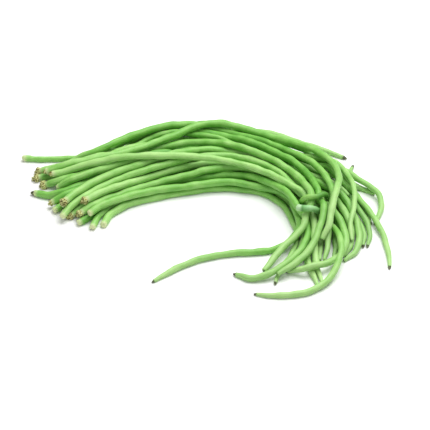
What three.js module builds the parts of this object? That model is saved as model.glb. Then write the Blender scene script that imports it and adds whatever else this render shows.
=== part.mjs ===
// A bunch of yardlong beans lying on a table: long green pods side by side in an arch,
// stalk ends to the left, drawn together on the right by one pod wound round them,
// with their tips fanned out below it.
// Millimetres, +Z up, the table at Z = 0, the origin under the middle of the bunch.

import * as THREE from "three";

// Pod sizes, as real ones measure
const podRadius = 4.05;
const tailRadius = 3.75;
const looseTailRadius = 3.25;
const tipRadius = 1.7;
const stalkShare = 0.8;
const thinning = 0.07;
const swelling = 0.04;
const stalkLength = 7;
const taperLength = 30;
// Pods by number whose thickness runs otherwise: slimmer ones and ones with a blunt tip
const podRadii = { 15: 3.25 };
const tailRadii = { 1: 2.6, 3: 3.35, 7: 3.45, 15: 3, 25: 2.9 };
const tipRadii = { 5: 2.3, 14: 2.6, 16: 2.2, 18: 2.6, 28: 2.1 };
const podSides = 7;
const ringSpacing = 14;
const clearance = 0.32;

// A pod is pressed flat where it comes this near the table
const tableTouch = 0.12;

// The tie is one slimmer pod, with its points closer together
const tieRadius = 3.3;
const tieSpacing = 6;

// The routes are set out as they look from the front: an eye far off, above the table,
// sees the bunch on a sheet, and a point is [right, down, height above the table].
const eyeDistance = 2500;
const eyeElevation = THREE.MathUtils.degToRad(40);
const sheetCentre = 215;

// Settling: how many rounds, and how hard each round pulls
const settleRounds = 800;
const growRounds = 480;
const easeRounds = 250;
const cleanRounds = 350;
const sag = 0.1;
const hold = 0.25;
const looseHold = 0.07;
const looseUntil = 95;
const fairing = 0.08;
const tieHold = 0.24;
const tieFairing = 0.02;
const tightening = 0.06;
const stiffness = 0.35;

// One list of points for each pod, from its stalk to its tip, from the front of the bunch back
const routes = [
  // front rim of the arch, its tip under the others
  [
    [103, 225, 4], [108, 217, 4], [115, 210, 4], [125, 204.5, 4], [140, 200.8, 4], [160, 196.8, 4],
    [180, 192.3, 4], [200, 189.3, 4], [220, 187.8, 4], [240, 188, 4], [255, 190.5, 4], [268, 196, 4],
    [280, 203, 4], [288.5, 211.5, 4], [294, 221, 4], [296, 232, 4], [295.5, 243, 4], [292, 253, 4],
    [286, 262, 4], [279.5, 271, 4], [275.5, 283, 4],
  ],
  [
    [92, 228, 4], [95, 221, 4], [101, 213.5, 4], [110, 207, 5], [122, 201.5, 5], [140, 196, 4],
    [160, 192, 4], [180, 188, 4], [200, 185, 4], [220, 183, 4], [240, 182.5, 4], [255, 185, 4],
    [270, 190, 4], [284, 199, 4], [294.5, 208.5, 4], [301.5, 220, 4], [304, 232, 4], [303, 244, 4],
    [299, 255, 4], [290.5, 265, 4],
  ],
  // long tip reaching left across the table
  [
    [89, 213, 10], [97, 207.5, 10], [106, 203, 10], [118, 198.7, 10], [130, 195, 10], [150, 190.8, 10],
    [170, 188.3, 10], [190, 186.5, 9], [205, 184, 9], [220, 182, 9], [240, 182.5, 9], [255, 185, 10],
    [270, 188.5, 12], [281, 192.5, 12], [290, 198.5, 11], [296, 205.5, 10], [299.5, 212.5, 10], [300.5, 220.5, 9],
    [299, 229, 8], [294, 237, 6], [285, 244, 5], [273, 249.5, 4], [256, 251.4, 4], [239.5, 252.2, 4],
    [223, 254.7, 4], [206, 258, 4], [190, 262.2, 4], [176.5, 268, 4], [165, 274.6, 4], [153.3, 281, 4],
  ],
  [
    [80, 214, 8], [88, 208.5, 10], [97, 203, 12], [107, 198, 14], [120, 194, 15], [135, 188.5, 16],
    [150, 183.8, 16], [170, 179.3, 16], [185, 176.3, 16], [200, 172.8, 17], [215, 169.5, 17],
    [230, 168.3, 17], [245, 169.5, 17], [260, 173.5, 17], [275, 180, 18], [290, 189, 19], [303, 197, 20],
    [313, 203, 18], [318, 212, 14], [319.5, 223, 10], [320.5, 235, 7], [321, 248, 5],
    [319.5, 262, 4],
  ],
  // second tip to the left
  [
    [71, 214, 6], [79, 208, 7], [88, 202.5, 8], [98, 198, 8], [110, 193.5, 8], [125, 190, 8],
    [145, 186, 8], [165, 182.5, 8], [185, 179.5, 8], [200, 177.8, 9], [215, 175.5, 10], [230, 174.5, 11],
    [245, 175.5, 12], [260, 179.5, 15], [273, 185, 18], [284, 190.8, 21], [293, 196, 23], [300.5, 201, 23],
    [306, 206.5, 21], [309.5, 214, 17], [310, 223, 14], [308, 232, 12], [304.5, 241, 11], [299, 251, 11], [291, 260, 10],
    [282, 267, 8], [272, 272.5, 7], [262, 276.5, 5], [252, 278, 4], [243, 277.3, 4], [235, 274.5, 4],
  ],
  [
    [84, 201, 16], [92, 196.5, 17], [101, 192.5, 18], [110, 190, 19], [120, 187.3, 20], [130, 182.8, 21],
    [140, 179.2, 21], [150, 176.3, 21], [160, 173.5, 21], [170, 170, 21], [180, 167, 21],
    [190, 164.7, 21], [200, 163, 21], [215, 162, 20], [230, 163.5, 19], [245, 167, 18], [260, 172, 17],
    [275, 179, 16], [288, 187, 16], [299, 195, 17], [309, 202, 15], [315, 211, 12], [316, 222, 9],
    [314, 234, 6], [310, 246, 4], [308.3, 257, 4], [309.8, 267, 4], [313.5, 276, 4], [318, 285, 4],
  ],
  // lowest sweep of the fan, curling left
  [
    [62, 217, 8], [68, 209.5, 10], [76, 201.8, 12], [84, 196, 14], [92, 191, 16], [100, 187, 18],
    [110, 183.3, 20], [120, 179.8, 22], [130, 175.5, 23], [140, 171.7, 24], [150, 168.7, 25],
    [160, 165.7, 26], [170, 162.5, 26], [182, 159.5, 26], [195, 157.5, 25], [210, 155.8, 24],
    [225, 155, 24], [240, 156.5, 24], [252, 159.5, 24], [264, 163.5, 23], [276, 169.5, 23],
    [287, 177.5, 23], [296, 187, 23], [303, 195.5, 22], [310, 203, 20], [318, 210, 19], [326, 216.5, 18],
    [333, 222, 18], [339, 230, 18], [341.5, 240, 18], [342, 250, 17], [340, 261, 15], [335, 271, 9],
    [328.6, 279.5, 5], [320, 286, 4], [311, 290.5, 4], [300, 293.8, 4], [288, 295.7, 4],
    [275, 295.8, 4], [263, 294.8, 4], [255, 294.3, 4],
  ],
  // bent right round under the fan
  [
    [64, 203, 12], [72, 196.5, 13], [80, 190.5, 15], [90, 184.5, 18], [100, 179.7, 20], [110, 175.5, 22],
    [120, 170.5, 24], [130, 167, 25], [140, 164.4, 26], [150, 162, 27], [160, 159.5, 27],
    [170, 156.5, 27], [180, 152.5, 26], [190, 150, 25], [200, 148.5, 25], [210, 148, 24], [220, 149, 24],
    [230, 150.3, 24], [240, 152, 23], [250, 155, 22], [260, 158.5, 21], [270, 163, 20], [280, 169, 20],
    [288, 176, 20], [295, 184, 20], [302, 192, 19], [311, 199, 17], [321, 205, 15], [331, 212, 13],
    [339, 221, 12], [344, 230, 11], [345.5, 239, 9], [344, 249, 7], [339, 256, 6], [333, 261, 7],
    [325, 263.5, 9], [315, 266, 10], [305, 268.5, 9], [295, 270.5, 6], [286, 271.5, 4],
  ],
  [
    [33.5, 193.3, 11], [43, 194.8, 12], [53, 195, 13], [63, 192.8, 14], [72, 189.3, 15], [81, 185.5, 17],
    [91, 181, 19], [100, 176.8, 21], [110, 172.3, 23], [122, 167.5, 24], [135, 163, 24], [150, 159, 22],
    [165, 157.5, 17], [180, 158.5, 11], [200, 161.5, 6], [220, 163.5, 5], [240, 166.5, 5], [258, 171, 6],
    [275, 177, 8], [290, 183, 10], [304, 188, 11], [317, 194, 12], [327, 203, 12], [332, 214, 11],
    [334, 227, 8], [335.5, 239, 5], [336, 249, 4], [334, 258, 4],
  ],
  [
    [57, 189, 17], [68, 182.8, 19], [80, 177, 21], [90, 173, 23], [100, 169.5, 25], [110, 166, 27],
    [120, 163.3, 28], [135, 160, 28], [150, 159.5, 23], [170, 161, 16], [185, 164, 9], [202, 167.5, 4],
    [222, 168.5, 4], [242, 171, 4], [262, 175.5, 5], [282, 181.5, 7], [304, 187, 10], [322, 191.5, 13],
    [333, 199, 13], [341, 206.5, 13], [346, 215, 12], [350, 224, 11], [351.3, 234, 9], [350.5, 243, 7],
    [348.5, 250, 5], [344, 256, 4],
  ],
  [
    [43.5, 184.5, 17], [51, 183.8, 17.5], [58, 182.3, 18], [68, 179, 19], [80, 174.5, 20], [92, 170, 21],
    [105, 165.5, 22], [120, 163, 20], [140, 163.5, 15], [160, 166, 9], [180, 170.5, 5], [200, 172.8, 4],
    [220, 173.5, 4], [240, 175, 4], [260, 177, 4], [280, 179, 6], [298, 181, 8], [314, 183, 11],
    [328, 188, 13], [339, 195, 14], [346, 203, 14], [350.5, 211.5, 13], [355, 220, 12], [358.3, 230, 10],
    [359, 240, 7], [356.8, 249, 5], [351.5, 256, 4], [344, 261, 4],
  ],
  // bright pod lying over the top of the heap
  [
    [50, 173.5, 26], [61, 171.9, 27], [71, 170.3, 28], [80, 168, 29], [90, 165, 31], [100, 162, 33],
    [110, 159.8, 35], [120, 157.8, 36], [130, 156.6, 37], [145, 156.1, 37], [160, 156, 37],
    [180, 156, 36], [195, 156.1, 36], [207, 157, 36], [220, 158.8, 35], [230, 161, 35], [240, 163.3, 34],
    [250, 166, 33], [260, 168.8, 32], [270, 173, 31], [280, 178.5, 30], [290, 184.5, 29],
    [300, 191.3, 27], [307, 197, 25], [312.5, 204, 22], [314, 213, 19], [313.5, 223, 16],
    [312.5, 234, 13], [312, 246, 10], [313.3, 257, 6], [315.5, 267, 4], [319, 275, 4], [322.5, 282, 4],
  ],
  [
    [36, 177.5, 17], [46, 176.8, 17.5], [56, 175, 18], [67, 172.5, 19], [80, 169, 20], [95, 168, 20],
    [110, 167.5, 17], [125, 169, 13], [142, 172.5, 8], [160, 176, 5], [180, 178, 4], [200, 178.5, 4],
    [220, 178.5, 4], [240, 179, 4], [260, 180.5, 4], [280, 182.5, 5], [298, 184.5, 7], [314, 186, 9],
    [328, 190, 10], [337, 196.5, 11], [342, 205, 11], [343.5, 214, 11], [343.8, 223, 10], [345, 232, 8],
    [346, 241, 6], [344.5, 250, 4], [341.5, 257, 4],
  ],
  [
    [36.5, 170.6, 21], [48, 169, 22], [60, 167.2, 24], [72, 164.8, 26], [85, 161.6, 28], [97, 158, 30],
    [109, 154.8, 31], [121, 152.8, 32], [133, 151.2, 32], [145, 149.3, 33], [156, 146.9, 33],
    [167, 144.6, 33], [178, 142.4, 32], [189, 141.1, 31],
    [200, 141, 30], [210, 141.5, 29], [220, 143, 28], [230, 145, 28], [240, 147, 27], [250, 150, 27],
    [260, 153.5, 26], [270, 158, 26], [280, 163, 25], [290, 169, 25], [298, 177, 25], [304.5, 185.5, 25],
    [309, 194, 25], [311, 203, 23], [310, 213, 20], [307, 222, 17], [301, 230, 15], [293.5, 237, 13],
    [286, 243.5, 12], [280, 250, 11], [275, 256.5, 10], [270, 263, 9], [264.5, 270, 8],
  ],
  // the one set apart, pointing straight left at the back
  [
    [25, 159.1, 5], [35, 159, 5], [46, 158.8, 6], [60, 158.4, 8], [72, 158.1, 11], [83, 157.6, 16],
    [94, 155, 21], [104, 152.5, 25], [113, 150.5, 28], [122, 148.5, 29], [131, 145.5, 30],
    [140, 142.2, 30], [149, 138, 29], [158, 134, 27], [170, 132.5, 23], [185, 133, 20], [200, 134.5, 19],
    [220, 138.5, 18], [240, 143.5, 17], [260, 149, 17], [280, 156, 15], [300, 163.5, 13],
    [317, 171, 12], [330, 176.8, 11], [340, 178.3, 11], [347.5, 175, 11], [351.5, 170, 11],
    [354, 165.5, 11],
  ],
  // back rim on the left, then over to the tie
  [
    [62, 175, 10], [75, 168.5, 13], [86, 162.5, 16], [97, 157.2, 19], [108, 151.8, 21], [119, 146, 22],
    [131, 141, 23], [141, 137, 23], [151, 133.3, 23], [162, 131, 24], [171, 130.2, 24],
    [180, 129.7, 25], [192, 130.2, 24], [205, 131.3, 24], [218, 134, 24], [232, 138.3, 24], [246, 142, 25],
    [260, 145.8, 25], [273, 150.3, 25], [284, 154.5, 25], [293, 159, 26], [301, 165.3, 26],
    [308.5, 171.8, 26], [314.5, 179, 26], [318.8, 187, 26], [321.3, 195, 26], [323, 204, 25],
    [324, 213, 23], [322, 222, 20], [319, 231, 18], [315.5, 240, 16], [311.5, 248.5, 14],
    [305.5, 256, 12], [298.5, 261.8, 10], [290, 266.3, 8], [282, 270.5, 6], [275, 274.5, 5],
  ],
  [
    [60, 171, 14], [72, 165.5, 17], [84, 160, 19], [95, 153.4, 21], [106, 146.8, 23], [119, 139.3, 25],
    [131, 134.6, 26], [141, 131.6, 27], [151, 129, 27], [160, 127.2, 26], [170, 125.8, 26],
    [180, 125.5, 25], [190, 126, 24], [200, 127.2, 24], [210, 127.7, 24], [220, 128.4, 24],
    [230, 130.6, 25], [240, 133.4, 25], [250, 136.5, 26], [260, 139.3, 26], [270, 143.2, 27],
    [280, 147.2, 27], [290, 150.5, 28], [300, 154, 28], [309, 158, 29], [317, 163.3, 29], [324, 170, 30],
    [328.6, 178, 30], [330.2, 188, 30], [329.3, 198, 29], [327, 207, 26], [327.5, 217, 20],
    [329, 229, 14], [328.5, 241, 10], [326.5, 252, 7], [323.5, 262, 4],
  ],
  // crosses over the back rim and hooks down on the right
  [
    [44, 171.5, 24], [58, 168.5, 26], [75, 164, 27], [90, 160, 28], [105, 155.6, 30], [120, 152.6, 31],
    [135, 149.2, 32], [149, 144.6, 33], [160, 140.4, 33], [169.5, 136.8, 33], [178, 133.7, 33],
    [187, 129.4, 33], [194, 126, 32], [202, 123.8, 31], [211, 123, 30], [221, 123.3, 29],
    [231, 125, 28], [241, 127.4, 28], [251, 130, 28], [261, 133.2, 28], [271, 136, 28], [281, 138.5, 28],
    [291, 141.2, 28], [301, 143.8, 29], [311, 147.3, 29], [321, 151.8, 30], [330, 157, 31], [337, 164, 32],
    [341, 172, 33], [341.3, 180, 33], [338.3, 188, 33], [333.5, 196, 32], [329.5, 204, 30],
    [329, 212, 27], [330, 220, 23], [328.5, 227, 20], [325.5, 233.5, 18], [321.5, 240.5, 16],
  ],
];

// The pods that lie under the others and show only on the right of the fan
const looseRoutes = [
  // outer loop on the right
  [
    [62, 190, 4], [80, 180, 4], [100, 169, 4], [120, 158, 5], [140, 149.5, 6], [160, 144, 6],
    [180, 141, 6], [200, 139, 7], [230, 141, 8], [260, 146, 9], [290, 152.5, 10], [315, 160, 12],
    [333, 168, 14], [345, 174.5, 16], [354, 179, 17], [363, 182.8, 18], [372, 186.5, 18], [379, 191, 17],
    [383, 197, 16], [384, 204, 14], [381.8, 211, 11], [378, 218, 8], [374.7, 226, 5],
  ],
  // furthest tip to the right
  [
    [57, 197, 4], [80, 186, 4], [100, 174, 4], [120, 163, 4], [140, 154, 4], [160, 148, 4],
    [180, 143, 4], [200, 142, 4], [225, 143, 4], [250, 146, 5], [275, 151, 6], [300, 159, 8],
    [322, 169, 10], [340, 181, 12], [353, 192, 13], [363, 202.5, 13], [370.5, 212, 12], [376, 220, 11],
    [380.5, 228, 9], [384.3, 237, 7], [387.3, 247, 5], [389.4, 257, 4], [389.6, 268, 4],
  ],
  [
    [58, 185, 9], [75, 177, 10], [95, 166, 11], [115, 154, 12], [135, 143, 14], [152, 136, 15],
    [170, 131.5, 16], [190, 129.8, 16], [212, 130.5, 16], [240, 135, 15], [275, 141.5, 14],
    [305, 151.5, 14], [325, 165, 14], [340, 177, 15], [354, 184.8, 15], [365, 189, 14], [375.5, 193.5, 13],
  ],
  [
    [52, 203, 4], [72, 193, 4], [95, 181, 4], [118, 169, 4], [140, 159.5, 4], [160, 153.5, 4],
    [180, 147.5, 4], [200, 146.8, 4], [225, 147.5, 4], [250, 150, 4], [275, 155.5, 5], [300, 164, 6],
    [322, 174, 8], [340, 185, 9], [353, 195.5, 9], [362.5, 205.5, 8], [368.5, 215, 6], [371, 225, 4],
  ],
  [
    [56, 211, 4], [74, 200, 4], [95, 187, 4], [118, 175, 4], [140, 165, 4], [160, 158.5, 4],
    [180, 152.5, 4], [200, 151.5, 4], [225, 152.5, 4], [250, 155.5, 4], [275, 161.5, 4], [298, 170, 5],
    [318, 180, 6], [335, 191, 7], [347, 202.5, 8], [355.5, 213.5, 9], [361, 224, 8], [364, 233, 7],
    [363.5, 240, 5], [361, 247.5, 4],
  ],
  [
    [76, 222, 4], [88, 213, 4], [100, 205, 4], [118, 194, 4], [140, 181, 4], [160, 170.5, 4],
    [180, 163, 4], [200, 158.5, 4], [225, 158, 4], [250, 161, 4], [275, 166.5, 4], [297, 174, 5],
    [317, 183, 7], [335, 192.5, 10], [349, 202.5, 11], [359, 213, 11], [366.5, 223.5, 9],
    [370.3, 233, 7], [369.3, 241, 5], [367.5, 247.5, 4],
  ],
  // thin pod standing out over the right of the fan
  [
    [60, 180, 12], [80, 172, 13], [102, 163, 14], [122, 155.5, 15], [142, 149.5, 15], [162, 145, 14],
    [182, 143, 13], [202, 142, 13], [225, 143, 13], [250, 146, 14], [275, 150.5, 16], [298, 155.5, 18],
    [318, 159.5, 21], [333, 163.5, 25], [343.5, 168.5, 28], [350, 176, 29], [354, 186, 29],
    [355.8, 197, 28], [355.3, 207, 26], [353, 215, 23], [350, 223, 20], [348.5, 233, 16],
    [349.3, 243, 10],
  ],
  [
    [62, 206, 8], [80, 194, 9], [100, 183, 10], [120, 174, 11], [140, 167, 12], [160, 162, 12],
    [180, 157, 12], [200, 156.5, 12], [225, 158, 12], [250, 161, 13], [272, 166, 14], [292, 172.5, 15],
    [310, 179, 17], [325, 184, 19], [337, 188, 21], [344, 191, 22], [350.5, 196, 22],
  ],
  // shaded tip low in the middle of the fan
  [
    [66, 212, 4], [82, 200, 5], [100, 188, 7], [120, 178.5, 9], [140, 172, 10], [160, 167.5, 11],
    [180, 165.5, 11], [200, 165, 11], [225, 166, 11], [250, 169, 11], [272, 172.5, 10], [292, 176.5, 9],
    [309, 181, 8], [325, 187.5, 8], [335, 197, 9], [337.5, 208.5, 9], [334.5, 221, 7], [331, 234, 5],
    [328, 247, 4], [325, 259, 4],
  ],
  // the tip that shows past the back of the bend
  [
    [66, 180, 5], [90, 165, 6], [112, 150.5, 9], [126, 143, 12], [140, 138.5, 14], [156, 135, 15], [178, 130.8, 17],
    [200, 129.5, 19], [225, 128, 20], [250, 130.3, 20], [275, 135, 20], [298, 141, 19], [318, 147.3, 17],
    [335, 153.8, 14], [347, 158.8, 11],
  ],
];

// The tie, from its cut end on top, one and a half times round the inner pods
const tieRoute = [
  [296, 207.5, 29], [303, 208.5, 30], [309, 208, 31], [315, 207, 30], [320.5, 208, 25],
  [323.5, 212, 16], [321, 217.5, 9], [317, 219, 7], [311.5, 216, 7], [306.5, 210.8, 9],
  [304, 204.5, 15], [303, 199.3, 22], [304, 198, 27], [307.5, 199.3, 31], [312, 200.3, 34], [317, 199.5, 35],
  [322.5, 198, 34], [327, 197.5, 29], [330, 203.5, 19], [330, 211, 9], [325, 214.5, 4],
  [317, 215, 4], [309, 214.5, 4],
];

// From the sheet back to the table
function onTable([right, down, height]) {
  const sine = Math.sin(eyeElevation);
  const cosine = Math.cos(eyeElevation);
  const up = sheetCentre - down;
  const across = right - sheetCentre;
  const lifted = eyeDistance * height * cosine;
  const y = (up * eyeDistance - lifted - up * height * sine) / (eyeDistance * sine - up * cosine);
  const nearness = eyeDistance / (eyeDistance - (height * sine - y * cosine));
  return new THREE.Vector3(across / nearness, y, height);
}

// A repeatable random number from 0 to 1 for a pod and a place along it
function chance(pod, place) {
  const wave = Math.sin(pod * 127.1 + place * 311.7 + 74.7) * 43758.5453;
  return wave - Math.floor(wave);
}

// How thick a pod is at a distance from its stalk
function podThickness(pod, place, length) {
  const build = 1 - thinning * chance(pod, 0.5);
  const thick = podRadii[pod + 1] ?? podRadius;
  const slim = tailRadii[pod + 1] ?? (pod < routes.length ? tailRadius : looseTailRadius);
  const end = tipRadii[pod + 1] ?? tipRadius;
  const body = THREE.MathUtils.lerp(thick, slim, place / length);
  const toStalk = Math.min(1, place / stalkLength);
  const toTip = Math.min(1, (length - place) / taperLength * end / tipRadius);
  const neck = body * (stalkShare + (1 - stalkShare) * Math.sin(toStalk * Math.PI / 2));
  const taper = end + (body - end) * Math.sin(toTip * Math.PI / 2);
  return Math.min(neck, taper) * build;
}

function tieThickness(pod, place, length) {
  return tieRadius - 0.9 * place / length;
}

// A strand of points at even steps along a smooth curve through a route
function makeStrand(route, index, spacing, thickness, loose) {
  const curve = new THREE.CatmullRomCurve3(route.map(onTable), false, "centripetal");
  const points = curve.getSpacedPoints(Math.round(curve.getLength() / spacing));
  const step = points[0].distanceTo(points[1]);
  const length = step * (points.length - 1);
  const radii = points.map((_, i) => {
    const atEnd = i % (points.length - 1) === 0;
    const bulge = atEnd ? 0 : swelling * (chance(index, i) - 0.5) * 2;
    return thickness(index, i * step, length) * (1 + bulge);
  });
  const targets = points.map((point) => point.clone());
  const holds = points.map((point) => (loose && point.x < looseUntil ? looseHold : hold));
  // the stalk widens quickly, so its whole first length is kept clear
  const girths = [radii[1], ...radii.slice(1)];
  return { points, radii, girths, step, length, index, thickness, loose, holds, targets };
}

// The nearest points of two segments, as shares of their lengths
function nearestShares(a, b, c, d) {
  const along = b.clone().sub(a);
  const other = d.clone().sub(c);
  const between = a.clone().sub(c);
  const aa = along.dot(along);
  const bb = other.dot(other);
  const ab = along.dot(other);
  const ac = along.dot(between);
  const bc = other.dot(between);
  const spread = aa * bb - ab * ab;
  let s = spread > 1e-9 ? THREE.MathUtils.clamp((ab * bc - ac * bb) / spread, 0, 1) : 0.5;
  let t = (ab * s + bc) / bb;
  if (t < 0 || t > 1) {
    t = THREE.MathUtils.clamp(t, 0, 1);
    s = THREE.MathUtils.clamp((ab * t - ac) / aa, 0, 1);
  }
  return [s, t];
}

// Pairs of segments of two pods that may come to touch
function closePairs(strands, reach) {
  const segments = [];
  strands.forEach((strand) => {
    for (let i = 0; i + 1 < strand.points.length; i++) {
      const middle = strand.points[i].clone().add(strand.points[i + 1]).multiplyScalar(0.5);
      segments.push({ strand, i, middle });
    }
  });
  segments.sort((p, q) => p.middle.x - q.middle.x);
  const pairs = [];
  for (let m = 0; m < segments.length; m++) {
    for (let n = m + 1; n < segments.length; n++) {
      if (segments[n].middle.x - segments[m].middle.x > reach) break;
      const same = segments[m].strand === segments[n].strand;
      if (same && Math.abs(segments[m].i - segments[n].i) < 4) continue;
      if (segments[m].middle.distanceToSquared(segments[n].middle) < reach * reach) {
        pairs.push([segments[m], segments[n]]);
      }
    }
  }
  return pairs;
}

// A loose strand gives way more than one that lies on top
function pushApart([one, two], grown) {
  const a = one.strand.points[one.i];
  const b = one.strand.points[one.i + 1];
  const c = two.strand.points[two.i];
  const d = two.strand.points[two.i + 1];
  const [s, t] = nearestShares(a, b, c, d);
  const apart = c.clone().lerp(d, t).sub(a.clone().lerp(b, s));
  const distance = apart.length();
  const girthOne = THREE.MathUtils.lerp(one.strand.girths[one.i], one.strand.girths[one.i + 1], s);
  const girthTwo = THREE.MathUtils.lerp(two.strand.girths[two.i], two.strand.girths[two.i + 1], t);
  const short = (girthOne + girthTwo + clearance) * grown - distance;
  if (short <= 0) return 0;
  if (distance < 1e-6) apart.set(0, 0, 1);
  apart.normalize();
  const giveOne = one.strand.loose ? 3 : 1;
  const giveTwo = two.strand.loose ? 3 : 1;
  const whole = giveOne * ((1 - s) * (1 - s) + s * s) + giveTwo * ((1 - t) * (1 - t) + t * t);
  const shareOne = short * giveOne / whole;
  const shareTwo = short * giveTwo / whole;
  a.addScaledVector(apart, -shareOne * (1 - s));
  b.addScaledVector(apart, -shareOne * s);
  c.addScaledVector(apart, shareTwo * (1 - t));
  d.addScaledVector(apart, shareTwo * t);
  return short;
}

function keepLength(strand) {
  for (let i = 0; i + 1 < strand.points.length; i++) {
    const link = strand.points[i + 1].clone().sub(strand.points[i]);
    const stretch = stiffness * (link.length() - strand.step) / link.length();
    strand.points[i].addScaledVector(link, stretch);
    strand.points[i + 1].addScaledVector(link, -stretch);
  }
}

// Evens out the bend along a pod, which keeps its arches and takes out its kinks
function fair(strand, strength) {
  const { points } = strand;
  const old = points.map((p) => p.clone());
  for (let i = 1; i + 1 < points.length; i++) {
    const before = old[Math.max(0, i - 2)];
    const after = old[Math.min(points.length - 1, i + 2)];
    const ends = before.clone().add(after);
    const sides = old[i - 1].clone().add(old[i + 1]);
    const lean = ends.addScaledVector(sides, -4).addScaledVector(old[i], 6);
    if (i > 1 && i + 2 < points.length) points[i].addScaledVector(lean, -strength);
  }
}

const flatShare = Math.cos(Math.PI / podSides);

function stayAboveTable(strand) {
  strand.points.forEach((point, i) => {
    point.z = Math.max(point.z, strand.radii[i] * flatShare);
  });
}

// Draws the tie in round what it holds, its cut end kept where it shows
function tighten(strand) {
  const { points } = strand;
  const old = points.map((point) => point.clone());
  for (let i = 1; i + 1 < points.length; i++) {
    const between = old[i - 1].clone().add(old[i + 1]).multiplyScalar(0.5);
    points[i].lerp(between, tightening);
  }
  [0, 1, 2].forEach((i) => points[i].lerp(strand.targets[i], 0.3));
}

// Draws every point back to its place on the sheet, free to move nearer the eye or further
function holdPlaces(strand, strength) {
  const sight = new THREE.Vector3(0, Math.cos(eyeElevation), -Math.sin(eyeElevation));
  strand.points.forEach((point, i) => {
    const offset = strand.targets[i].clone().sub(point);
    const depth = offset.dot(sight);
    point.addScaledVector(offset.addScaledVector(sight, -depth), strand.holds[i] * strength);
    point.z -= sag * strength;
  });
}

// Lets the pods down on the table and on each other
function settle(pods, tie) {
  const reach = ringSpacing + 3 * podRadius + 4;
  const strands = [...pods, tie];
  let pairs = [];
  for (let round = 0; round < settleRounds + easeRounds + cleanRounds; round++) {
    const grown = Math.min(1, 0.35 + 0.65 * round / growRounds);
    const eased = THREE.MathUtils.clamp(1 - (round - settleRounds) / easeRounds, 0, 1);
    if (round % 10 === 0) pairs = closePairs(strands, reach);
    if (eased > 0) {
      strands.forEach((strand) => holdPlaces(strand, eased));
      strands.forEach((strand) => fair(strand, (strand === tie ? tieFairing : fairing) * eased));
      tighten(tie);
      pods.forEach(keepLength);
    }
    pairs.forEach((pair) => pushApart(pair, grown));
    strands.forEach(stayAboveTable);
  }
}

// A closed tube with a ring of corners at each point, one flat of every ring facing down
function podGeometry({ points, radii }) {
  const upright = new THREE.Vector3(0, 0, 1);
  const corners = [];
  points.forEach((point, i) => {
    const before = points[Math.max(0, i - 1)];
    const after = points[Math.min(points.length - 1, i + 1)];
    const tangent = after.clone().sub(before).normalize();
    const side = tangent.clone().cross(upright).normalize();
    const top = side.clone().cross(tangent);
    for (let k = 0; k < podSides; k++) {
      const angle = -Math.PI / 2 + (k + 0.5) * 2 * Math.PI / podSides;
      const corner = point.clone().addScaledVector(side, radii[i] * Math.cos(angle));
      corner.addScaledVector(top, radii[i] * Math.sin(angle));
      if (corner.z < tableTouch) corner.z = 0;
      corners.push(corner);
    }
  });
  const rings = points.length;
  const faces = [];
  for (let i = 0; i + 1 < rings; i++) {
    for (let k = 0; k < podSides; k++) {
      const a = i * podSides + k;
      const b = i * podSides + (k + 1) % podSides;
      faces.push(a, a + podSides, b, b, a + podSides, b + podSides);
    }
  }
  corners.push(points[0].clone(), points[rings - 1].clone());
  const stalkPole = rings * podSides;
  const last = (rings - 1) * podSides;
  for (let k = 0; k < podSides; k++) {
    const next = (k + 1) % podSides;
    faces.push(stalkPole, k, next);
    faces.push(stalkPole + 1, last + next, last + k);
  }
  const geometry = new THREE.BufferGeometry().setFromPoints(corners);
  geometry.setIndex(faces);
  return geometry;
}

// Rings close together at the two ends, where the pod narrows
function withEndRings(strand) {
  const { points, length, index, step, thickness } = strand;
  const places = points.map((_, i) => i * step);
  const extra = [2.5, 7, length - 2, length - 7];
  const all = [...places.map((place, i) => ({ place, point: points[i], radius: strand.radii[i] }))];
  extra.forEach((place) => {
    const i = Math.min(points.length - 2, Math.floor(place / step));
    const point = points[i].clone().lerp(points[i + 1], place / step - i);
    all.push({ place, point, radius: thickness(index, place, length) });
  });
  all.sort((p, q) => p.place - q.place);
  return { points: all.map((r) => r.point), radii: all.map((r) => r.radius) };
}

function skin(index) {
  const green = new THREE.Color().setHSL(0.27 + 0.02 * chance(index, 2), 0.5, 0.46 + 0.1 * chance(index, 3));
  return new THREE.MeshStandardMaterial({ color: green, roughness: 0.45, metalness: 0 });
}

const bunch = new THREE.Group();
const pods = [...routes, ...looseRoutes].map((route, index) => {
  return makeStrand(route, index, ringSpacing, podThickness, index >= routes.length);
});
const tie = makeStrand(tieRoute, pods.length, tieSpacing, tieThickness, false);
tie.holds.fill(tieHold);
settle(pods, tie);
pods.forEach((strand, index) => {
  const mesh = new THREE.Mesh(podGeometry(withEndRings(strand)), skin(index));
  mesh.name = "pod_" + String(index + 1).padStart(2, "0");
  bunch.add(mesh);
});
const tieMesh = new THREE.Mesh(podGeometry(withEndRings(tie)), skin(pods.length));
tieMesh.name = "tie_pod";
bunch.add(tieMesh);

// The origin goes under the middle of the bunch, on the table
const middle = new THREE.Box3().setFromObject(bunch).getCenter(new THREE.Vector3());
bunch.children.forEach((mesh) => mesh.geometry.translate(-middle.x, -middle.y, 0));
bunch.userData.middle = [middle.x, middle.y];

export default bunch;
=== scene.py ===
import math

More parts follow.
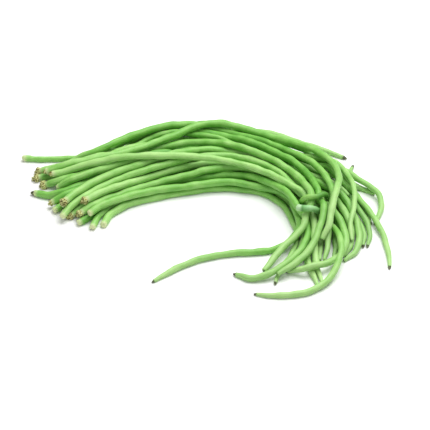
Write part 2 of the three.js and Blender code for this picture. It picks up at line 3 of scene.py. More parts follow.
import bmesh
import bpy
import numpy as np
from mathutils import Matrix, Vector


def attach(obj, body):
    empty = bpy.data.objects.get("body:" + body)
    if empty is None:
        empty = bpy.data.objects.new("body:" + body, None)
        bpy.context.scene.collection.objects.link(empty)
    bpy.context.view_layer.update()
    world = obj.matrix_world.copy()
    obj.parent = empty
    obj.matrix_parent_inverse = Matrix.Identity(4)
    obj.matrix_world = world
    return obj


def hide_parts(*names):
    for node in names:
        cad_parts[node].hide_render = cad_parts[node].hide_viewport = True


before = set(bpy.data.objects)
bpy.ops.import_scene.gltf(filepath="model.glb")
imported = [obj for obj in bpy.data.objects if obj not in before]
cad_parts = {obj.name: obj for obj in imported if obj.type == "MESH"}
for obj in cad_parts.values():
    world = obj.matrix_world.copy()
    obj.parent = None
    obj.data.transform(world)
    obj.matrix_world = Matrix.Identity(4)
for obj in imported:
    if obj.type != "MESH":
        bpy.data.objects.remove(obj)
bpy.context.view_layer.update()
podNames = sorted(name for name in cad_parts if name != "tie_pod")
print("frame loaded:", len(podNames), "pods and the winding pod")


# Colours are noted as they look on a screen, 0 to 255, and turned to linear light here.
def colour(red, green, blue):
    def linear(value):
        value = value / 255
        return value / 12.92 if value <= 0.04045 else ((value + 0.055) / 1.055) ** 2.4

    return (linear(red), linear(green), linear(blue), 1.0)


def fill(tree, node, inputs):
    for key, value in inputs.items():
        if isinstance(value, bpy.types.NodeSocket):
            tree.links.new(value, node.inputs[key])
        else:
            node.inputs[key].default_value = value


def add(tree, kind, inputs=None, **settings):
    node = tree.nodes.new(kind)
    for key, value in settings.items():
        setattr(node, key, value)
    fill(tree, node, inputs or {})
    return node


def calc(tree, operation, *terms):
    node = tree.nodes.new("ShaderNodeMath")
    node.operation = operation
    fill(tree, node, dict(enumerate(terms)))
    return node.outputs[0]


# Camera, floor and studio light

view = dict(
    target=(0.012, -0.00668, 0.0),  # point of the table in the middle of the picture
    distance=2.5,
    elevation=40,  # degrees above the table
    frameWidth=0.43,  # width of the table seen at the target, in metres
    sensor=36,
)
light = dict(
    skyStrength=0.36,
    lampSize=1.5,
    lampPlace=(0.35, 0.45, 1.5),
    lampPower=34,
    fillSize=2.2,
    fillPlace=(-0.9, -1.5, 1.1),
    fillPower=5,
    floorSize=12,
    floorColour=(252, 252, 252),
)

target = Vector(view["target"])
rise = math.radians(view["elevation"])
camera = bpy.data.objects.new("camera", bpy.data.cameras.new("camera"))
bpy.context.collection.objects.link(camera)
camera.location = target + view["distance"] * Vector((0, -math.cos(rise), math.sin(rise)))
camera.rotation_euler = (math.radians(90 - view["elevation"]), 0, 0)
camera.data.sensor_width = view["sensor"]
camera.data.lens = view["sensor"] * view["distance"] / view["frameWidth"]
camera.data.clip_end = 50
bpy.context.scene.camera = camera
bpy.context.scene.view_settings.view_transform = "Standard"


def addLamp(name, place, size, power):
    lamp = bpy.data.objects.new(name, bpy.data.lights.new(name, "AREA"))
    bpy.context.collection.objects.link(lamp)
    lamp.location = place
    lamp.rotation_euler = (target - Vector(place)).to_track_quat("-Z", "Y").to_euler()
    lamp.data.size = size
    lamp.data.energy = power


addLamp("softbox", light["lampPlace"], light["lampSize"], light["lampPower"])
addLamp("fill", light["fillPlace"], light["fillSize"], light["fillPower"])
world = bpy.data.worlds.new("studio")
world.use_nodes = True
world.node_tree.nodes["Background"].inputs["Color"].default_value = (1, 1, 1, 1)
world.node_tree.nodes["Background"].inputs["Strength"].default_value = light["skyStrength"]
bpy.context.scene.world = world


def makeFloor():
    half = light["floorSize"] / 2
    mesh = bpy.data.meshes.new("floor")
    corners = [(-half, -half, 0), (half, -half, 0), (half, half, 0), (-half, half, 0)]
    mesh.from_pydata(corners, [], [(0, 1, 2, 3)])
    floor = bpy.data.objects.new("floor", mesh)
    bpy.context.collection.objects.link(floor)
    paint = bpy.data.materials.new("floorPaint")
    paint.use_nodes = True
    shader = paint.node_tree.nodes["Principled BSDF"]
    shader.inputs["Base Color"].default_value = colour(*light["floorColour"])
    shader.inputs["Roughness"].default_value = 0.9
    shader.inputs["Specular IOR Level"].default_value = 0.1
    mesh.materials.append(paint)


makeFloor()
print("camera, floor and light placed")


# Finishes. A pod's mesh carries these attributes: along (metres from the stalk), tail (metres from
# the tip), side (where round the pod), a paleness from -1 to 1 (partly the pod's own tone, partly
# painted shade for pods lying in shade in the heap and painted light for pods at the front) and
# dryLength (metres withered at the tip).

podFinish = dict(
    deep=(58, 142, 24),
    green=(122, 188, 78),
    pale=(172, 218, 130),
    seam=(92, 160, 60),
    tailPale=(186, 216, 152),
    stalkEnd=(210, 220, 164),
    tipEnd=(78, 84, 58),
    # toneAndShadeShare: how far each pod's paleness (part its own tone, part painted shade and painted light)
    # moves its colour
    toneAndShadeShare=0.4,
    endShare=0.16,  # how much paler the skin is near both ends
    tailShare=0.42,
    mottleScale=70,  # patches of about 14 mm
    mottleShare=0.9,
    speckScale=900,
    speckShare=0.25,
    lineShare=0.3,  # how much fine lines along the pod lighten and darken it
    stalkFade=0.005,  # metres of pale skin at the stalk
    roughness=(0.42, 0.58),
    streakBump=0.25,
    colourAndShadeBands=(),
)
tieFinish = dict(
    podFinish,
    tailShare=0.0,
    stalkEnd=(186, 222, 166),
    tipEnd=(120, 176, 92),
    # colours at distances along the winding pod, in metres from its cut end: the pale cut end and its green
    # are its own, the darker stretches are painted shade where it runs under other pods, and the bright
    # stretches are painted light
    colourAndShadeBands=(
        (0.0, (200, 232, 192)),
        (0.0052, (184, 222, 172)),
        (0.0074, (86, 150, 78)),
        (0.0096, (124, 186, 112)),
        (0.014, (160, 208, 150)),
        (0.022, (128, 190, 116)),
        (0.034, (76, 152, 54)),
        (0.07, (46, 130, 26)),
        (0.095, (52, 138, 30)),
        (0.101, (142, 200, 90)),
        (0.11, (154, 208, 104)),
        (0.12, (84, 150, 54)),
    ),
)


def makeSkin(name, finish):
    material = bpy.data.materials.new(name)
    material.use_nodes = True
    tree = material.node_tree
    shader = tree.nodes["Principled BSDF"]

    def attribute(label):
        return add(tree, "ShaderNodeAttribute", attribute_name=label)

    def mix(share, first, second):
        node = tree.nodes.new("ShaderNodeMix")
        node.data_type = "RGBA"
        for socket, value in ((node.inputs[0], share), (node.inputs[6], first), (node.inputs[7], second)):
            if isinstance(value, bpy.types.NodeSocket):
                tree.links.new(value, socket)
            else:
                socket.default_value = value
        return node.outputs[2]

    def ramp(value, low, high):  # 0 below low, 1 above high
        return add(tree, "ShaderNodeMapRange", {0: value, 1: low, 2: high, 3: 0.0, 4: 1.0}).outputs[0]

    place = add(tree, "ShaderNodeTexCoord").outputs["Object"]
    along = attribute("along").outputs["Fac"]
    tail = attribute("tail").outputs["Fac"]
    tone = attribute("tone").outputs["Fac"]
    side = add(tree, "ShaderNodeSeparateXYZ", {0: attribute("side").outputs["Vector"]})
    mottle = add(tree, "ShaderNodeTexNoise", {"Vector": place, "Scale": finish["mottleScale"], "Detail": 3.0})
    speck = add(tree, "ShaderNodeTexNoise", {"Vector": place, "Scale": finish["speckScale"], "Detail": 2.0})

    # each pod's paleness: its own tone, plus painted shade for pods lying in shade and painted light for pods
    # at the front
    paleness = calc(tree, "MULTIPLY_ADD", tone, finish["toneAndShadeShare"], 0.5)
    patches = calc(tree, "MULTIPLY", calc(tree, "SUBTRACT", mottle.outputs["Fac"], 0.5),
                   finish["mottleShare"])
    specks = calc(tree, "MULTIPLY", calc(tree, "SUBTRACT", speck.outputs["Fac"], 0.5),
                  finish["speckShare"])
    nearEnd = calc(tree, "SUBTRACT", 1.0, ramp(calc(tree, "MINIMUM", along, tail), 0.03, 0.13))
    paleness = calc(tree, "MULTIPLY_ADD", nearEnd, finish["endShare"], paleness)
    paleness = calc(tree, "ADD", calc(tree, "ADD", paleness, patches), specks)

    # fine lines along the pod
    lengthwise = calc(tree, "MULTIPLY_ADD", along, 28.0, calc(tree, "MULTIPLY", tone, 50.0))
    linePlace = add(tree, "ShaderNodeCombineXYZ", {0: calc(tree, "MULTIPLY", side.outputs["X"], 5.0),
                                                   1: calc(tree, "MULTIPLY", side.outputs["Y"], 5.0),
                                                   2: lengthwise})
    line = add(tree, "ShaderNodeTexNoise", {"Vector": linePlace.outputs[0], "Scale": 1.0, "Detail": 3.0})
    lines = calc(tree, "MULTIPLY", calc(tree, "SUBTRACT", line.outputs["Fac"], 0.5), finish["lineShare"] * 2)
    paleness = calc(tree, "ADD", paleness, lines)

    lower = mix(ramp(paleness, 0.0, 0.5), colour(*finish["deep"]), colour(*finish["green"]))
    skin = mix(ramp(paleness, 0.5, 1.0), lower, colour(*finish["pale"]))
    nearTail = calc(tree, "SUBTRACT", 1.0, ramp(tail, 0.015, 0.12))
    skin = mix(calc(tree, "MULTIPLY", nearTail, finish["tailShare"]), skin, colour(*finish["tailPale"]))
    # the winding pod's bands: its own colours, with painted shade and painted light along its stretches
    if finish["colourAndShadeBands"]:
        length = finish["colourAndShadeBands"][-1][0]
        belt = tree.nodes.new("ShaderNodeValToRGB")
        tree.links.new(calc(tree, "DIVIDE", along, length), belt.inputs[0])
        stops = belt.color_ramp.elements
        stops[0].color, stops[1].color = colour(*finish["colourAndShadeBands"][0][1]), colour(*finish["colourAndShadeBands"][-1][1])
        for spot, shade in finish["colourAndShadeBands"][1:-1]:
            stops.new(spot / length).color = colour(*shade)
        skin = mix(0.88, skin, belt.outputs[0])

    # the two seams of the pod, a little darker
    seam = calc(tree, "POWER", calc(tree, "ABSOLUTE", side.outputs["X"]), 60.0)
    skin = mix(calc(tree, "MULTIPLY", seam, 0.45), skin, colour(*finish["seam"]))

    # the skin pales towards the stalk and withers at the tip
    edge = calc(tree, "MULTIPLY", calc(tree, "SUBTRACT", speck.outputs["Fac"], 0.5), 0.004)
    pale = calc(tree, "SUBTRACT", 1.0, ramp(calc(tree, "ADD", along, edge), 0.0005, finish["stalkFade"]))
    skin = mix(pale, skin, colour(*finish["stalkEnd"]))
    dryLength = attribute("dryLength").outputs["Fac"]
    dry = ramp(calc(tree, "ADD", tail, edge), calc(tree, "MULTIPLY", dryLength, 0.4), dryLength)
    dry = calc(tree, "SUBTRACT", 1.0, dry)
    skin = mix(dry, skin, colour(*finish["tipEnd"]))

    low, high = finish["roughness"]
    roughness = add(tree, "ShaderNodeMapRange",
                    {0: mottle.outputs["Fac"], 1: 0.3, 2: 0.7, 3: low, 4: high}).outputs[0]

    height = calc(tree, "ADD", line.outputs["Fac"], calc(tree, "MULTIPLY", speck.outputs["Fac"], 0.3))
    bump = add(tree, "ShaderNodeBump",
               {"Height": height, "Strength": finish["streakBump"], "Distance": 0.0006})

    fill(tree, shader, {"Base Color": skin, "Roughness": roughness, "Normal": bump.outputs[0],
                        "Specular IOR Level": 0.5, "Subsurface Weight": 0.08, "Subsurface Scale": 0.003})
    shader.inputs["Subsurface Radius"].default_value = (0.5, 1.0, 0.25)
    return material


podSkin = makeSkin("podSkin", podFinish)
tieSkin = makeSkin("tieSkin", tieFinish)

driedFinish = dict(
    calyxDark=(78, 70, 34),
    calyxBrown=(146, 138, 72),
    calyxPale=(212, 218, 152),
    tipDark=(44, 46, 38),
    tipBrown=(82, 84, 62),
    tipPale=(126, 136, 92),
    patchScale=700,
    stops=(0.36, 0.46, 0.58),  # where the dark, brown and pale patches lie in the noise
    roughness=0.8,
)


def makeDried(name, dark, brown, pale):
    material = bpy.data.materials.new(name)
    material.use_nodes = True
    tree = material.node_tree
    place = add(tree, "ShaderNodeTexCoord").outputs["Object"]
    patches = add(tree, "ShaderNodeTexNoise",
                  {"Vector": place, "Scale": driedFinish["patchScale"], "Detail": 4.0})
    ramp = tree.nodes.new("ShaderNodeValToRGB")
    tree.links.new(patches.outputs["Fac"], ramp.inputs[0])
    stops = ramp.color_ramp.elements
    darkStop, brownStop, paleStop = driedFinish["stops"]
    stops[0].position, stops[0].color = darkStop, colour(*dark)
    stops[1].position, stops[1].color = paleStop, colour(*pale)
    stops.new(brownStop).color = colour(*brown)
    bump = add(tree, "ShaderNodeBump",
               {"Height": patches.outputs["Fac"], "Strength": 0.5, "Distance": 0.0004})
    fill(tree, tree.nodes["Principled BSDF"],
         {"Base Color": ramp.outputs[0], "Normal": bump.outputs[0],
          "Roughness": driedFinish["roughness"], "Specular IOR Level": 0.3})
    return material


driedCalyx = makeDried("driedCalyx", driedFinish["calyxDark"], driedFinish["calyxBrown"],
                       driedFinish["calyxPale"])
driedTip = makeDried("driedTip", driedFinish["tipDark"], driedFinish["tipBrown"], driedFinish["tipPale"])
print("finishes made")


# Each pod's centre line and thickness, read from its solid: rings of corners from the stalk's pole
# to the tip's
solidSides = 7


def readRings(name):
    shape = bmesh.new()
    shape.from_mesh(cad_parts[name].data)
    bmesh.ops.remove_doubles(shape, verts=shape.verts, dist=1e-6)
    poles = [vert for vert in shape.verts if len(vert.link_edges) == solidSides]

    def levels(start):
        seen = {start}
        ring = [start]
        found = []
        while ring:
            found.append([vert.co.copy() for vert in ring])
            following = []
            for vert in ring:
                for link in vert.link_edges:
                    other = link.other_vert(vert)
                    if other not in seen:
                        seen.add(other)
                        following.append(other)
            ring = following
        return found[1:-1]

    def middleOf(ring):
        return sum(ring, Vector()) / len(ring)

    def girthOf(ring):
        middle = middleOf(ring)
        return sum((corner - middle).length for corner in ring) / len(ring)

    rings = levels(poles[0])
    if girthOf(rings[0]) < girthOf(rings[-1]):  # the stalk's end is the thicker one
        rings.reverse()
    shape.free()
    return np.array([middleOf(ring) for ring in rings]), np.array([girthOf(ring) for ring in rings])


# A smooth path through the ring centres, with points at an even step
def smoothPath(centres, girths, step):
    lengths = np.concatenate([[0], np.cumsum(np.linalg.norm(np.diff(centres, axis=0), axis=1))])
    slopes = np.gradient(centres, lengths, axis=0)
    count = max(8, int(round(lengths[-1] / step)))
    spots = np.linspace(0, lengths[-1], count + 1)
    cell = np.clip(np.searchsorted(lengths, spots, side="right") - 1, 0, len(lengths) - 2)
    span = (lengths[cell + 1] - lengths[cell])[:, None]
    share = (spots - lengths[cell])[:, None] / span
    path = (
        (2 * share**3 - 3 * share**2 + 1) * centres[cell]
        + (share**3 - 2 * share**2 + share) * span * slopes[cell]
        + (3 * share**2 - 2 * share**3) * centres[cell + 1]
        + (share**3 - share**2) * span * slopes[cell + 1]
    )
    return path, np.interp(spots, lengths, girths), spots


# The skin swept along a path: seeds swell it, seams groove it, and it is a little uneven.
def makePodTree():
    tree = bpy.data.node_groups.new("podSweep", "GeometryNodeTree")
    face = tree.interface

    def socket(name, kind):
        return face.new_socket(name=name, in_out="INPUT", socket_type=kind).identifier

    names = {"path": socket("Path", "NodeSocketGeometry")}
    names["sides"] = socket("Sides", "NodeSocketInt")
    for key, label in (("spacing", "Seed spacing"), ("swelling", "Seed swelling"), ("flatness", "Flatness"),
                       ("uneven", "Unevenness"), ("groove", "Seam depth"), ("number", "Pod number"),
                       ("tone", "Tone"), ("dryLength", "Dry length")):
        names[key] = socket(label, "NodeSocketFloat")
    names["skin"] = socket("Skin", "NodeSocketMaterial")
    face.new_socket(name="Geometry", in_out="OUTPUT", socket_type="NodeSocketGeometry")
    given = tree.nodes.new("NodeGroupInput").outputs

    def attribute(label, kind="FLOAT"):
        node = add(tree, "GeometryNodeInputNamedAttribute", {"Name": label}, data_type=kind)
        return node.outputs["Attribute"]

    def store(geometry, label, kind, value):
        node = add(tree, "GeometryNodeStoreNamedAttribute", {"Geometry": geometry, "Name": label},
                   data_type=kind, domain="POINT")
        tree.links.new(value, node.inputs["Value"])
        return node.outputs[0]

    position = tree.nodes.new("GeometryNodeInputPosition").outputs[0]
    line = add(tree, "GeometryNodeMeshToCurve", {"Mesh": given["Path"]}).outputs[0]
    line = store(line, "core", "FLOAT_VECTOR", position)
    circle = add(tree, "GeometryNodeCurvePrimitiveCircle", {"Resolution": given["Sides"], "Radius": 1.0})
    outline = store(circle.outputs[0], "side", "FLOAT_VECTOR", position)
    skin = add(tree, "GeometryNodeCurveToMesh",
               {"Curve": line, "Profile Curve": outline, "Scale": attribute("girth")}).outputs[0]

    along = attribute("along")
    full = attribute("full")
    side = add(tree, "ShaderNodeSeparateXYZ", {0: attribute("side", "FLOAT_VECTOR")}).outputs["X"]
    twist = add(tree, "ShaderNodeSeparateXYZ", {0: attribute("side", "FLOAT_VECTOR")}).outputs["Y"]
    start = calc(tree, "MULTIPLY", given["Pod number"], 7.31)

    def wander(scale, shift):  # smooth noise along the pod, -0.5 to 0.5
        spot = calc(tree, "MULTIPLY_ADD", along, scale, calc(tree, "ADD", start, shift))
        noise = add(tree, "ShaderNodeTexNoise", {"W": spot, "Scale": 1.0, "Detail": 1.0},
                    noise_dimensions="1D")
        return calc(tree, "SUBTRACT", noise.outputs[0], 0.5)

    phase = calc(tree, "ADD", calc(tree, "DIVIDE", along, given["Seed spacing"]), wander(22.0, 3.0))
    wave = calc(tree, "COSINE", calc(tree, "MULTIPLY", phase, 2 * math.pi))
    across = calc(tree, "MULTIPLY", side, side)
    seeds = calc(tree, "MULTIPLY", calc(tree, "MULTIPLY", wave, given["Seed swelling"]),
                 calc(tree, "MULTIPLY_ADD", across, -0.6, 1.0))
    oval = calc(tree, "MULTIPLY", calc(tree, "SUBTRACT", across, 0.5), given["Flatness"])
    rough = calc(tree, "MULTIPLY", calc(tree, "MULTIPLY", wander(55.0, 40.0), 2.0), given["Unevenness"])
    lumps = calc(tree, "MULTIPLY", calc(tree, "MULTIPLY", wander(90.0, 80.0), twist), given["Unevenness"])
    seam = calc(tree, "POWER", calc(tree, "ABSOLUTE", side), 40.0)
    seam = calc(tree, "MULTIPLY", seam, given["Seam depth"])
    total = calc(tree, "ADD", calc(tree, "ADD", seeds, oval), calc(tree, "ADD", rough, lumps))
    total = calc(tree, "MULTIPLY", calc(tree, "SUBTRACT", total, seam), full)
    away = add(tree, "ShaderNodeVectorMath", {0: position, 1: attribute("core", "FLOAT_VECTOR")},
               operation="SUBTRACT").outputs[0]
    offset = add(tree, "ShaderNodeVectorMath", {0: away}, operation="SCALE")
    tree.links.new(total, offset.inputs["Scale"])
    skin = add(tree, "GeometryNodeSetPosition", {"Geometry": skin, "Offset": offset.outputs[0]}).outputs[0]
    skin = add(tree, "GeometryNodeMergeByDistance", {"Geometry": skin, "Distance": 1e-6}).outputs[0]
    skin = store(skin, "tone", "FLOAT", given["Tone"])
    skin = store(skin, "dryLength", "FLOAT", given["Dry length"])
    skin = add(tree, "GeometryNodeSetShadeSmooth", {"Geometry": skin}).outputs[0]
    skin = add(tree, "GeometryNodeRealizeInstances", {"Geometry": skin}).outputs[0]
    skin = add(tree, "GeometryNodeSetMaterial", {"Geometry": skin, "Material": given["Skin"]}).outputs[0]
    tree.links.new(skin, tree.nodes.new("NodeGroupOutput").inputs[0])
    return tree, names


podTree, podSockets = makePodTree()

podShape = dict(
    step=0.0024,
    sides=24,
    share=0.96,  # of the solid thickness, as a round skin bulges past its flat sides
    stalkGirth=0.0032,
    stalkRound=0.0009,  # metres over which the blunt stalk end rounds off
    tipRound=0.0014,
    fullAfter=0.016,  # metres from either end where the swellings are at full size
    seedSpacing=0.0165,
    swelling=0.04,
    flatness=-0.03,
    uneven=0.13,
    groove=0.022,
    wander=0.0005,  # metres that the pod strays from its solid's middle
    clearance=0.97,  # least height of the middle over the table, in thicknesses
    dryLength=0.0005,
)
# metres of dark skin before the tip, for the pods whose tips have withered
witheredTips = dict(pod_01=0.0022, pod_03=0.0016, pod_05=0.002, pod_07=0.0022, pod_08=0.0022,
                    pod_15=0.005, pod_19=0.002, pod_20=0.0024, pod_22=0.0024, pod_23=0.0022,
                    pod_24=0.0022, pod_28=0.0034)
# paleness of each pod, -1 to 1: partly its own tone, partly painted shade (pods deep in the middle of the
# heap and loose pods lying in shade are set darker) and painted light (pods at the front are set paler)
podTonesAndShade = dict(pod_01=0.3, pod_02=0.1, pod_03=0.0, pod_04=0.2, pod_05=-0.1, pod_06=0.6, pod_07=0.5,
                pod_08=0.3, pod_09=-0.3, pod_10=0.1, pod_11=-0.1, pod_12=0.8, pod_13=-0.5,
                pod_14=0.3, pod_15=0.1,
                pod_16=-0.2, pod_17=-0.1, pod_18=0.2, pod_22=-0.7, pod_23=-0.6,
                pod_24=-0.9, pod_25=0.4)


def toPiece(name, host):
    # the evaluated shape as a plain mesh on a new object at the origin
    bpy.context.view_layer.update()
    mesh = bpy.data.meshes.new_from_object(host.evaluated_get(bpy.context.evaluated_depsgraph_get()))
    mesh.name = name
    host.modifiers.clear()
    bpy.data.objects.remove(host)
    shape = bmesh.new()
    shape.from_mesh(mesh)
    if shape.calc_volume(signed=True) < 0:
        bmesh.ops.reverse_faces(shape, faces=shape.faces)
    for vert in shape.verts:
        vert.co.z = max(vert.co.z, 0.0)  # what rests on the table is pressed flat
    shape.to_mesh(mesh)
    shape.free()
    piece = bpy.data.objects.new(name, mesh)
    bpy.context.collection.objects.link(piece)
    return piece


bendLengths = (0.061, 0.034, 0.021)  # metres from one bend to the next


# small bends to either side, from a few waves of seeded phase
def strayPath(path, along, size, number):
    waves = np.random.default_rng(100 + number)
    tangent = np.gradient(path, axis=0)
    across = np.cross(tangent, (0, 0, 1))
    across /= np.linalg.norm(across, axis=1)[:, None] + 1e-9
    upward = np.cross(across, tangent)
    upward /= np.linalg.norm(upward, axis=1)[:, None] + 1e-9
    for direction, share in ((across, 1.0), (upward, 0.35)):
        stray = sum(np.sin(2 * math.pi * (along / length + waves.uniform())) / 3
                    for length in bendLengths)
        path = path + direction * (stray * share * size)[:, None]
    return path


def makePod(name, number, material, tone, shape):
    centres, girths = readRings(name)
    path, girth, along = smoothPath(centres, girths * shape["share"], shape["step"])
    path = strayPath(path, along, shape["wander"], number)
    tail = along[-1] - along
    girth = np.maximum(girth, shape["stalkGirth"] * (along < 0.012) * np.clip(1.6 - along / 0.012, 0, 1))
    # both ends round off to a closed pole
    rounding = [(0.0, 0.0), (0.12, 0.48), (0.45, 0.84), (1.0, 1.0)]
    keep = (along > shape["stalkRound"] * 1.2) & (tail > shape["tipRound"] * 1.2)
    headSpots = [share * shape["stalkRound"] for share, _ in rounding]
    tailSpots = [along[-1] - share * shape["tipRound"] for share, _ in reversed(rounding)]
    spots = np.concatenate([headSpots, along[keep], tailSpots])
    scale = np.concatenate([[size for _, size in rounding], np.ones(keep.sum()),
                            [size for _, size in reversed(rounding)]])
    path = np.stack([np.interp(spots, along, path[:, axis]) for axis in range(3)], axis=1)
    girth = np.interp(spots, along, girth) * scale
    path[:, 2] = np.maximum(path[:, 2], girth * shape["clearance"])
    tail = along[-1] - spots

    mesh = bpy.data.meshes.new(name + "_path")
    mesh.from_pydata(path.tolist(), [(i, i + 1) for i in range(len(path) - 1)], [])
    full = np.clip(np.minimum(spots, tail) / shape["fullAfter"], 0, 1)
    for label, values in (("girth", girth), ("along", spots), ("tail", tail), ("full", full)):
        mesh.attributes.new(label, "FLOAT", "POINT").data.foreach_set("value", values.astype(np.float32))
    host = bpy.data.objects.new(name + "_path", mesh)
    bpy.context.collection.objects.link(host)
    sweep = host.modifiers.new("sweep", "NODES")
    sweep.node_group = podTree
    settings = dict(sides=shape["sides"], spacing=shape["seedSpacing"], swelling=shape["swelling"],
                    flatness=shape["flatness"], uneven=shape["uneven"], groove=shape["groove"],
                    number=float(number), tone=float(tone), skin=material,
                    dryLength=witheredTips.get(name, shape["dryLength"]))
    for key, value in settings.items():
        sweep[podSockets[key]] = value
    piece = toPiece(name + "_skin", host)
    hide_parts(name)
    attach(piece, "root")
    ends.append(dict(name=name, stalk=path[0], stalkWay=path[0] - path[6], stalkGirth=girth[4],
                     tip=path[-1], tipWay=path[-1] - path[-7], tipGirth=girth[-5]))
    return piece


ends = []
chance = np.random.default_rng(7)
for number, name in enumerate(podNames, start=1):
    # the unlisted pods are loose ones: a random tone, set darker on average as painted shade, since they lie
    # in the shade in the middle of the heap
    shadeAndDrift = chance.uniform(-0.8, 0.2)
    makePod(name, number, podSkin, podTonesAndShade.get(name, shadeAndDrift), podShape)
print("pods made:", len(ends))

tieShape = dict(podShape, stalkGirth=0.0034, swelling=0.012, uneven=0.03, stalkRound=0.0022)
makePod("tie_pod", 40, tieSkin, 0.0, tieShape)
print("winding pod made")


# Withered calyxes at the stalks and dry tips, set on points with Geometry Nodes

calyx = dict(
    sizes=dict(pod_11=1.45, pod_13=1.3, pod_14=1.25, pod_08=1.15, pod_06=1.15, pod_05=1.1, pod_04=1.15,
               pod_12=0.7, pod_22=0.9, pod_18=0.6, pod_20=0.9),
    lobes=5,
    sides=30,
    # distance from the axis, height along it and share of the lobes, in mm, for a pod 3.1 mm in radius
    outline=((0, -0.8, 0), (2.6, -0.8, 0), (2.9, -0.1, 0.2), (2.9, 0.8, 0.7), (2.8, 1.9, 1.0),
             (2.3, 2.3, 0.7), (1.7, 1.7, 0.1), (1.4, 2.3, 0), (1.3, 3.5, 0.1), (0.9, 4.1, 0.3), (0, 3.7, 0)),
    lobeReach=0.9,
    ragged=0.65,
    madeFor=0.0031,  # metres, the stalk's radius that the outline fits
)
dryTip = dict(
    sizes=dict(pod_01=0.75, pod_03=0.7, pod_05=0.8, pod_07=0.8, pod_08=0.75, pod_15=0.8,
               pod_19=0.75, pod_20=0.85, pod_22=0.75, pod_23=0.75, pod_24=0.75, pod_28=0.85),
    stalkSizes=dict(pod_09=0.95),  # a stalk that has withered to a grey point
    lobes=2,
    sides=12,
    outline=((0, -0.6, 0), (1.25, -0.4, 0), (1.2, 0.3, 0.1), (0.9, 0.9, 0.2), (0.7, 1.4, 0.3),
             (0.45, 1.9, 0.3), (0, 2.0, 0)),
    lobeReach=0.3,
    ragged=0.15,
    madeFor=0.0016,  # metres, the tip's radius that the outline fits
)


def makeTurned(name, shape, seed):
    # a closed ragged form round the Z axis, in metres
    rough = np.random.default_rng(seed)
    outline = shape["outline"]
    count = shape["sides"]
    angles = np.arange(count) * 2 * math.pi / count
    lobe = np.clip(np.cos(angles * shape["lobes"]) * 0.6 + 0.5, 0, 1)
    sector = (angles * shape["lobes"] / 2 / math.pi).astype(int)
    lobe = lobe * (1 + rough.uniform(-1, 1, shape["lobes"])[sector] * 0.4)
    verts = [(0, 0, outline[0][1])]
    for reach, height, share in outline[1:-1]:
        radius = reach + lobe * share * shape["lobeReach"]
        radius = radius + rough.uniform(-1, 1, count) * shape["ragged"] * 0.4
        lift = height - lobe * share * 0.5
        lift = lift + rough.uniform(-1, 1, count) * shape["ragged"] * 0.6 * (height > 0)
        verts += [(r * math.cos(a), r * math.sin(a), z) for r, a, z in zip(radius, angles, lift)]
    verts.append((0, 0, outline[-1][1]))
    last = len(verts) - 1
    rows = len(outline) - 2
    faces = [(0, 1 + (i + 1) % count, 1 + i) for i in range(count)]
    for row in range(rows - 1):
        start = 1 + row * count
        faces += [(start + i, start + (i + 1) % count, start + count + (i + 1) % count, start + count + i)
                  for i in range(count)]
    faces += [(last, last - count + i, last - count + (i + 1) % count) for i in range(count)]
    mesh = bpy.data.meshes.new(name)
    mesh.from_pydata([(x / 1000, y / 1000, z / 1000) for x, y, z in verts], [], faces)
    form = bpy.data.objects.new(name, mesh)
    bpy.context.collection.objects.link(form)
    return form


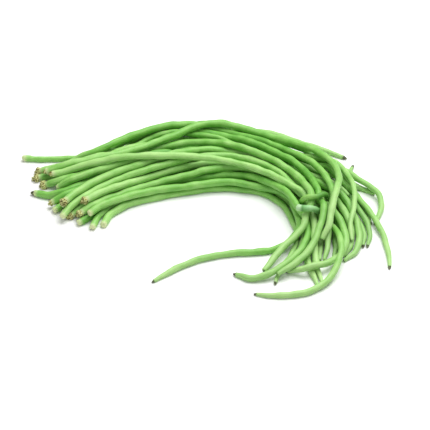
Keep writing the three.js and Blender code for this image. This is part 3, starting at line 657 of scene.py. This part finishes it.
def makeEndTree():
    tree = bpy.data.node_groups.new("podEnds", "GeometryNodeTree")

    def socket(name, kind):
        return tree.interface.new_socket(name=name, in_out="INPUT", socket_type=kind).identifier

    names = dict(points=socket("Points", "NodeSocketGeometry"), form=socket("Form", "NodeSocketObject"),
                 least=socket("Least size", "NodeSocketFloat"), most=socket("Most size", "NodeSocketFloat"),
                 seed=socket("Seed", "NodeSocketInt"), finish=socket("Finish", "NodeSocketMaterial"))
    tree.interface.new_socket(name="Geometry", in_out="OUTPUT", socket_type="NodeSocketGeometry")
    given = tree.nodes.new("NodeGroupInput").outputs
    way = add(tree, "GeometryNodeInputNamedAttribute", {"Name": "way"}, data_type="FLOAT_VECTOR").outputs[0]
    size = add(tree, "GeometryNodeInputNamedAttribute", {"Name": "size"}, data_type="FLOAT").outputs[0]
    turned = add(tree, "FunctionNodeAlignRotationToVector", {"Vector": way}, axis="Z").outputs[0]
    angle = add(tree, "FunctionNodeRandomValue", {2: 0.0, 3: 6.283, "Seed": given["Seed"]},
                data_type="FLOAT").outputs[1]
    spin = add(tree, "ShaderNodeCombineXYZ", {"Z": angle}).outputs[0]
    spin = add(tree, "FunctionNodeEulerToRotation", {0: spin}).outputs[0]
    turned = add(tree, "FunctionNodeRotateRotation", {"Rotation": turned, "Rotate By": spin},
                 rotation_space="LOCAL").outputs[0]
    grown = add(tree, "FunctionNodeRandomValue", {2: given["Least size"], 3: given["Most size"],
                                                  "Seed": given["Seed"]}, data_type="FLOAT").outputs[1]
    form = add(tree, "GeometryNodeObjectInfo", {"Object": given["Form"]}).outputs["Geometry"]
    ends = add(tree, "GeometryNodeInstanceOnPoints",
               {"Points": given["Points"], "Instance": form, "Rotation": turned,
                "Scale": calc(tree, "MULTIPLY", size, grown)}).outputs[0]
    ends = add(tree, "GeometryNodeRealizeInstances", {"Geometry": ends}).outputs[0]
    ends = add(tree, "GeometryNodeSetShadeSmooth", {"Geometry": ends}).outputs[0]
    ends = add(tree, "GeometryNodeSetMaterial", {"Geometry": ends, "Material": given["Finish"]}).outputs[0]
    tree.links.new(ends, tree.nodes.new("NodeGroupOutput").inputs[0])
    return tree, names


endTree, endSockets = makeEndTree()


def setEnds(name, places, ways, sizes, form, least, most, seed, finish):
    mesh = bpy.data.meshes.new(name + "_points")
    mesh.from_pydata([tuple(place) for place in places], [], [])
    wayData = mesh.attributes.new("way", "FLOAT_VECTOR", "POINT").data
    wayData.foreach_set("vector", np.array(ways, np.float32).ravel())
    mesh.attributes.new("size", "FLOAT", "POINT").data.foreach_set("value", np.array(sizes, np.float32))
    host = bpy.data.objects.new(name + "_points", mesh)
    bpy.context.collection.objects.link(host)
    scatter = host.modifiers.new("ends", "NODES")
    scatter.node_group = endTree
    for key, value in dict(form=form, least=least, most=most, seed=seed, finish=finish).items():
        scatter[endSockets[key]] = value
    piece = toPiece(name, host)
    bpy.data.objects.remove(form)
    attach(piece, "root")


withCalyx = [end for end in ends if end["name"] in calyx["sizes"]]
setEnds("calyxes", [end["stalk"] for end in withCalyx], [end["stalkWay"] for end in withCalyx],
        [calyx["sizes"][end["name"]] * end["stalkGirth"] / calyx["madeFor"] for end in withCalyx],
        makeTurned("calyxForm", calyx, 3), 0.9, 1.1, 5, driedCalyx)
tips = [(end["tip"], end["tipWay"], dryTip["sizes"][end["name"]] * end["tipGirth"])
        for end in ends if end["name"] in dryTip["sizes"]]
tips += [(end["stalk"], end["stalkWay"], dryTip["stalkSizes"][end["name"]] * end["stalkGirth"])
         for end in ends if end["name"] in dryTip["stalkSizes"]]
setEnds("dryTips", [place for place, _, _ in tips], [way for _, way, _ in tips],
        [girth / dryTip["madeFor"] for _, _, girth in tips],
        makeTurned("tipForm", dryTip, 4), 0.9, 1.1, 6, driedTip)
print("calyxes and dry tips set")
